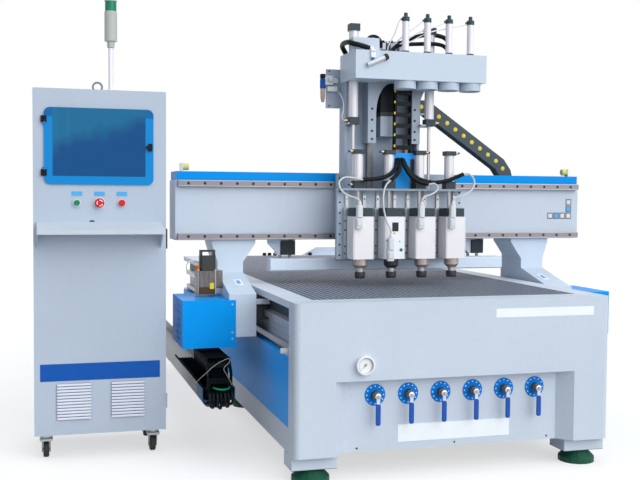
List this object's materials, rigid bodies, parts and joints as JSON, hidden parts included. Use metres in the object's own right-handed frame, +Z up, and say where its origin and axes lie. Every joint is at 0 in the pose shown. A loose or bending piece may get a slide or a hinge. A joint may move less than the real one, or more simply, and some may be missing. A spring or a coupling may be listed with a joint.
{
  "type": "woodworking machining center",
  "caption": "Gantry router with a grooved vacuum table, a head of lifting spindles under a dust manifold, cable chains, and a separate control cabinet on casters.",
  "frame": {"origin": "middle of the footprint of the whole machine with its cabinet, on the floor", "axes": "+X to the right seen from the front, where the vacuum valves are, +Y from the front to the back along the table, +Z up"},
  "size_m": [2.8706, 3.193, 2.241],
  "materials": {
    "machine_paint": "pale blue-grey satin paint",
    "cabinet_paint": "pale blue-grey satin paint",
    "blue_paint": "bright blue gloss paint",
    "table_board": "grey-mauve grooved board",
    "bright_steel": "ground rail steel",
    "dark_steel": "dark oiled steel",
    "head_aluminium": "cast and milled aluminium",
    "black_plastic": "black moulded plastic",
    "tinted_pane": "clear window pane in a blue frame",
    "tray_steel": "grey folded sheet",
    "oil_tank": "smoked tank and dark head",
    "red_plastic": "red push cap",
    "green_plastic": "green push cap",
    "lamp_stack": "grey body with coloured lenses",
    "gauge_case": "bright pressed case",
    "wheel_tread": "dark tread"
  },
  "bodies": {
    "bed": {"bed_frame": "machine_paint", "front_panel": "machine_paint", "vacuum_table": "table_board", "side_panel_left": "blue_paint", "side_panel_right": "blue_paint", "vacuum_manifold": "bright_steel", "vacuum_gauge": "gauge_case", "cable_tray": "tray_steel", "y_drag_chain": "black_plastic", "cabinet_body": "cabinet_paint", "monitor": "black_plastic", "keyboard_shelf": "cabinet_paint", "signal_tower": "lamp_stack"},
    "gantry": {"gantry_beam": "machine_paint", "column_left": "machine_paint", "column_right": "machine_paint", "x_rail_upper": "bright_steel", "x_rail_lower": "bright_steel", "beam_cover": "blue_paint", "motor_cover_left": "blue_paint", "motor_cover_right": "blue_paint", "lube_pump": "oil_tank"},
    "pusher": {"pusher_bar": "machine_paint"},
    "carriage": {"x_saddle": "head_aluminium", "dust_manifold": "machine_paint", "x_drag_chain": "black_plastic", "z_motor": "black_plastic"},
    "head": {"z_plate": "head_aluminium", "z_drag_chain": "black_plastic"},
    "spindle_unit_1": {"spindle_1": "head_aluminium"},
    "collet_unit_1": {"collet_1": "dark_steel"},
    "gate_1": {"dust_gate_1": "bright_steel"},
    "spindle_unit_2": {"spindle_2": "head_aluminium"},
    "collet_unit_2": {"collet_2": "dark_steel"},
    "gate_2": {"dust_gate_2": "bright_steel"},
    "spindle_unit_3": {"spindle_3": "head_aluminium"},
    "collet_unit_3": {"collet_3": "dark_steel"},
    "gate_3": {"dust_gate_3": "bright_steel"},
    "spindle_unit_4": {"spindle_4": "head_aluminium"},
    "collet_unit_4": {"collet_4": "dark_steel"},
    "gate_4": {"dust_gate_4": "bright_steel"},
    "valve_1": {"valve_lever_1": "blue_paint"},
    "valve_2": {"valve_lever_2": "blue_paint"},
    "valve_3": {"valve_lever_3": "blue_paint"},
    "valve_4": {"valve_lever_4": "blue_paint"},
    "valve_5": {"valve_lever_5": "blue_paint"},
    "valve_6": {"valve_lever_6": "blue_paint"},
    "needle": {"gauge_needle": "black_plastic"},
    "window": {"cabinet_window": "tinted_pane"},
    "door": {"rear_door": "cabinet_paint"},
    "lock": {"lock_lever": "dark_steel"},
    "start": {"start_button": "green_plastic"},
    "emergency_stop": {"emergency_stop_button": "red_plastic"},
    "stop": {"stop_button": "red_plastic"},
    "caster_left": {"caster_fork_left": "bright_steel"},
    "caster_right": {"caster_fork_right": "bright_steel"},
    "wheel_front_left": {"caster_wheel_front_left": "wheel_tread"},
    "wheel_front_right": {"caster_wheel_front_right": "wheel_tread"},
    "wheel_rear_left": {"caster_wheel_rear_left": "wheel_tread"},
    "wheel_rear_right": {"caster_wheel_rear_right": "wheel_tread"}
  },
  "joints": [
    {"name": "gantry_travel", "type": "slide", "parent": "bed", "child": "gantry", "axis": [0, 1, 0], "range_m": [-0.45, 1.85]},
    {"name": "carriage_travel", "type": "slide", "parent": "gantry", "child": "carriage", "axis": [1, 0, 0], "range_m": [-0.56, 0.56]},
    {"name": "z_travel", "type": "slide", "parent": "carriage", "child": "head", "axis": [0, 0, 1], "range_m": [-0.03, 0.14]},
    {"name": "pusher_lower", "type": "slide", "parent": "gantry", "child": "pusher", "axis": [0, 0, -1], "range_m": [0, 0.055]},
    {"name": "spindle_1_lift", "type": "slide", "parent": "head", "child": "spindle_unit_1", "axis": [0, 0, 1], "range_m": [0, 0.08]},
    {"name": "spindle_2_lift", "type": "slide", "parent": "head", "child": "spindle_unit_2", "axis": [0, 0, 1], "range_m": [0, 0.08]},
    {"name": "spindle_3_lift", "type": "slide", "parent": "head", "child": "spindle_unit_3", "axis": [0, 0, 1], "range_m": [0, 0.08]},
    {"name": "spindle_4_lift", "type": "slide", "parent": "head", "child": "spindle_unit_4", "axis": [0, 0, 1], "range_m": [0, 0.08]},
    {"name": "collet_1_spin", "type": "hinge", "parent": "spindle_unit_1", "child": "collet_unit_1", "pos_m": [0.08733, -0.923, 0.84], "axis": [0, 0, 1], "continuous": true},
    {"name": "collet_2_spin", "type": "hinge", "parent": "spindle_unit_2", "child": "collet_unit_2", "pos_m": [0.24733, -0.923, 0.84], "axis": [0, 0, 1], "continuous": true},
    {"name": "collet_3_spin", "type": "hinge", "parent": "spindle_unit_3", "child": "collet_unit_3", "pos_m": [0.40733, -0.923, 0.84], "axis": [0, 0, 1], "continuous": true},
    {"name": "collet_4_spin", "type": "hinge", "parent": "spindle_unit_4", "child": "collet_unit_4", "pos_m": [0.56733, -0.923, 0.84], "axis": [0, 0, 1], "continuous": true},
    {"name": "gate_1_close", "type": "slide", "parent": "carriage", "child": "gate_1", "axis": [0, 0, -1], "range_m": [0, 0.07]},
    {"name": "gate_2_close", "type": "slide", "parent": "carriage", "child": "gate_2", "axis": [0, 0, -1], "range_m": [0, 0.07]},
    {"name": "gate_3_close", "type": "slide", "parent": "carriage", "child": "gate_3", "axis": [0, 0, -1], "range_m": [0, 0.07]},
    {"name": "gate_4_close", "type": "slide", "parent": "carriage", "child": "gate_4", "axis": [0, 0, -1], "range_m": [0, 0.07]},
    {"name": "valve_1_turn", "type": "hinge", "parent": "bed", "child": "valve_1", "pos_m": [-0.03717, -1.5533, 0.36], "axis": [0, 1, 0], "range_deg": [0, 90]},
    {"name": "valve_2_turn", "type": "hinge", "parent": "bed", "child": "valve_2", "pos_m": [0.11383, -1.5533, 0.36], "axis": [0, 1, 0], "range_deg": [0, 90]},
    {"name": "valve_3_turn", "type": "hinge", "parent": "bed", "child": "valve_3", "pos_m": [0.26483, -1.5533, 0.36], "axis": [0, 1, 0], "range_deg": [0, 90]},
    {"name": "valve_4_turn", "type": "hinge", "parent": "bed", "child": "valve_4", "pos_m": [0.41583, -1.5533, 0.36], "axis": [0, 1, 0], "range_deg": [0, 90]},
    {"name": "valve_5_turn", "type": "hinge", "parent": "bed", "child": "valve_5", "pos_m": [0.56683, -1.5533, 0.36], "axis": [0, 1, 0], "range_deg": [0, 90]},
    {"name": "valve_6_turn", "type": "hinge", "parent": "bed", "child": "valve_6", "pos_m": [0.71783, -1.5533, 0.36], "axis": [0, 1, 0], "range_deg": [0, 90]},
    {"name": "gauge_needle_turn", "type": "hinge", "parent": "bed", "child": "needle", "pos_m": [-0.10667, -1.5875, 0.502], "axis": [0, 1, 0], "range_deg": [0, 270]},
    {"name": "window_open", "type": "hinge", "parent": "bed", "child": "window", "pos_m": [-1.38667, -0.9088, 1.42], "axis": [0, 0, -1], "range_deg": [0, 110]},
    {"name": "rear_door_open", "type": "hinge", "parent": "bed", "child": "door", "pos_m": [-1.42867, -0.4342, 0.9], "axis": [0, 0, 1], "range_deg": [0, 110]},
    {"name": "lock_turn", "type": "hinge", "parent": "bed", "child": "lock", "pos_m": [-0.84267, -0.8605, 1.0365], "axis": [1, 0, 0], "range_deg": [0, 90]},
    {"name": "start_press", "type": "slide", "parent": "bed", "child": "start", "axis": [0, 1, 0], "range_m": [0, 0.004], "stiffness_N_per_m": 400},
    {"name": "emergency_stop_press", "type": "slide", "parent": "bed", "child": "emergency_stop", "axis": [0, 1, 0], "range_m": [0, 0.004]},
    {"name": "stop_press", "type": "slide", "parent": "bed", "child": "stop", "axis": [0, 1, 0], "range_m": [0, 0.004], "stiffness_N_per_m": 400},
    {"name": "caster_left_swivel", "type": "hinge", "parent": "bed", "child": "caster_left", "pos_m": [-1.38267, -0.8285, 0.1], "axis": [0, 0, 1], "continuous": true},
    {"name": "caster_right_swivel", "type": "hinge", "parent": "bed", "child": "caster_right", "pos_m": [-0.89967, -0.8285, 0.1], "axis": [0, 0, 1], "continuous": true},
    {"name": "wheel_front_left_roll", "type": "hinge", "parent": "caster_left", "child": "wheel_front_left", "pos_m": [-1.38267, -0.8065, 0.037], "axis": [1, 0, 0], "continuous": true},
    {"name": "wheel_front_right_roll", "type": "hinge", "parent": "caster_right", "child": "wheel_front_right", "pos_m": [-0.89967, -0.8065, 0.037], "axis": [1, 0, 0], "continuous": true},
    {"name": "wheel_rear_left_roll", "type": "hinge", "parent": "bed", "child": "wheel_rear_left", "pos_m": [-1.38267, -0.5225, 0.037], "axis": [1, 0, 0], "continuous": true},
    {"name": "wheel_rear_right_roll", "type": "hinge", "parent": "bed", "child": "wheel_rear_right", "pos_m": [-0.89967, -0.5225, 0.037], "axis": [1, 0, 0], "continuous": true}
  ]
}
